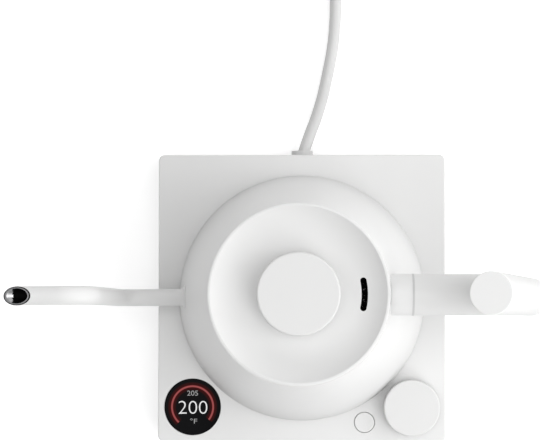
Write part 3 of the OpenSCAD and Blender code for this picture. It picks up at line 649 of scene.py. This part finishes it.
# Figures as a thin mesh on the glass: (point - middle) * wanted size / own size + place
def makeFigures(name, figure, finish, s=displaySet):
    words, (x, y), wide, tall, weight = figure
    letters = bpy.data.curves.new(name, "FONT")
    letters.body = words
    letters.offset = weight
    letters.extrude = 0.01     # any thickness will do: the wanted one is set below
    maker = bpy.data.objects.new(name + "Maker", letters)
    scene.collection.objects.link(maker)
    bpy.context.view_layer.update()
    mesh = bpy.data.meshes.new_from_object(maker.evaluated_get(bpy.context.evaluated_depsgraph_get()))
    bpy.data.objects.remove(maker)
    points = np.zeros(len(mesh.vertices) * 3)
    mesh.vertices.foreach_get("co", points)
    points = points.reshape(-1, 3)
    low, high = points.min(0), points.max(0)
    size = np.array([wide, tall, s["thick"]]) / (high - low)
    points = ((points - (low + high) / 2) * size + [x, y, s["top"] + s["lift"]]) * mm
    mesh.vertices.foreach_set("co", points.reshape(-1).astype(np.float32))
    work = bmesh.new()
    work.from_mesh(mesh)
    bmesh.ops.remove_doubles(work, verts=work.verts, dist=joinWithin / 10)
    work.to_mesh(mesh)
    work.free()
    piece = bpy.data.objects.new(name, mesh)
    scene.collection.objects.link(piece)
    giveFinish(piece, finish)
    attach(piece, "base")


# Flat band on part of a circle: x = r cos a, y = r sin a, with r from the inner to the outer edge and a from
# start to end. Its own coordinate across the band is 0 at the inner edge and 1 at the outer one
def makeArc(s):
    long, wide = s["arcSteps"]
    a = np.radians(np.linspace(s["arcFrom"], s["arcTo"], long))[:, None]
    v = np.linspace(0, 1, wide)[None]
    r = s["arcRadius"] + (v - 0.5) * s["arcWidth"]
    x, y = s["centre"]
    top = np.stack([x + r * np.cos(a), y + r * np.sin(a), s["top"] + s["lift"] + 0 * r * a], -1)
    piece = surface("displayArc", top * mm, closeColumns=False)
    uv = piece.data.uv_layers.new(name="UVMap")
    corner = np.zeros(len(piece.data.loops), int)
    piece.data.loops.foreach_get("vertex_index", corner)
    spot = np.zeros(len(piece.data.vertices) * 3)
    piece.data.vertices.foreach_get("co", spot)
    spot = spot.reshape(-1, 3)[corner] / mm
    radius = np.hypot(spot[:, 0] - x, spot[:, 1] - y)
    across = (radius - s["arcRadius"]) / s["arcWidth"] + 0.5
    uv.data.foreach_set("uv", np.stack([0 * across, across], -1).reshape(-1).astype(np.float32))
    if piece.data.polygons[0].normal.z < 0:
        piece.data.flip_normals()
    giveFinish(piece, "arcRed")
    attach(piece, "base")


makeFigures("displayTarget", displaySet["target"], "digitWhite")
makeFigures("displayLimit", displaySet["limit"], "digitGrey")
makeFigures("displayUnit", displaySet["unit"], "digitGrey")
makeArc(displaySet)
print("display")

studioSet = {
    "sky": 0.2,
    "floorColor": (0.80, 0.80, 0.80), "floorRough": 0.9, "floorShine": 0.1,
    "floorRings": (0.0, 0.5, 1.5, 4.0, 12.0), "floorSides": 64,
    "floorDrop": 0.00002,      # keeps the floor clear of the feet's flat soles
    "grain": 400, "grainRelief": 0.05, "grainDepth": 0.0001,
    "floorGlow": (0.37, 1.0), "glowSpan": (0.5, 2.2),  # the paper shines more far away
    "lampSize": 1.0, "away": 1.6,
    # each lamp's direction: degrees round from +X, degrees up, and its power
    "lamps": [
        (0, 25, 6.8), (0, 55, 4.4), (-45, 25, 6.4), (-45, 55, 4.7), (45, 25, 4.2),
        (90, 25, 3.7), (180, 68, 5.2), (-135, 55, 1.6), (0, 85, 4.9),
    ],
}


# Rings of paper, x = r cos a, y = r sin a, which fade to white with their distance from the kettle
def makeFloor(s):
    r = np.array(s["floorRings"])[:, None]
    a = np.linspace(0, 2 * math.pi, s["floorSides"], endpoint=False)
    grid = np.stack([r * np.cos(a), r * np.sin(a), 0 * r * a - s["floorDrop"]], -1)
    piece = surface("floor", grid)
    if piece.data.polygons[0].normal.z < 0:
        piece.data.flip_normals()
    material, nodes, links, shader = newMaterial("floorPaper")
    where = nodes.new("ShaderNodeTexCoord").outputs["Object"]
    grain = noiseNode(nodes, links, where, s["grain"])
    shader.inputs["Base Color"].default_value = (*s["floorColor"], 1)
    shader.inputs["Roughness"].default_value = s["floorRough"]
    shader.inputs["Specular IOR Level"].default_value = s["floorShine"]
    shader.inputs["Emission Color"].default_value = (1, 1, 1, 1)
    distance = nodes.new("ShaderNodeVectorMath")
    distance.operation = "LENGTH"
    links.new(where, distance.inputs[0])
    glow = rangeNode(nodes, links, distance.outputs["Value"], *s["floorGlow"], s["glowSpan"])
    links.new(glow, shader.inputs["Emission Strength"])
    bumpNode(nodes, links, shader, grain, s["grainRelief"], s["grainDepth"])
    piece.data.materials.append(material)


# Round lamp that faces the kettle: place = away (cos up cos round, cos up sin round, sin up)
def makeLamp(s, around, up, power):
    data = bpy.data.lights.new("lamp", "AREA")
    data.shape = "DISK"
    data.size = s["lampSize"]
    data.energy = power
    lamp = bpy.data.objects.new("lamp", data)
    a, b = math.radians(around), math.radians(up)
    heading = (math.cos(b) * math.cos(a), math.cos(b) * math.sin(a), math.sin(b))
    lamp.location = [s["away"] * part for part in heading]
    lamp.rotation_euler = [math.pi / 2 - b, 0, a + math.pi / 2]
    scene.collection.objects.link(lamp)


# A weak white sky fills the shadows, and colours are shown as they are
def makeSky(s):
    world = bpy.data.worlds.new("studio")
    world.use_nodes = True
    world.node_tree.nodes["Background"].inputs["Color"].default_value = (1, 1, 1, 1)
    world.node_tree.nodes["Background"].inputs["Strength"].default_value = s["sky"]
    scene.world = world
    scene.view_settings.view_transform = "Standard"


makeFloor(studioSet)
for lampValues in studioSet["lamps"]:
    makeLamp(studioSet, *lampValues)
makeSky(studioSet)
print("studio")
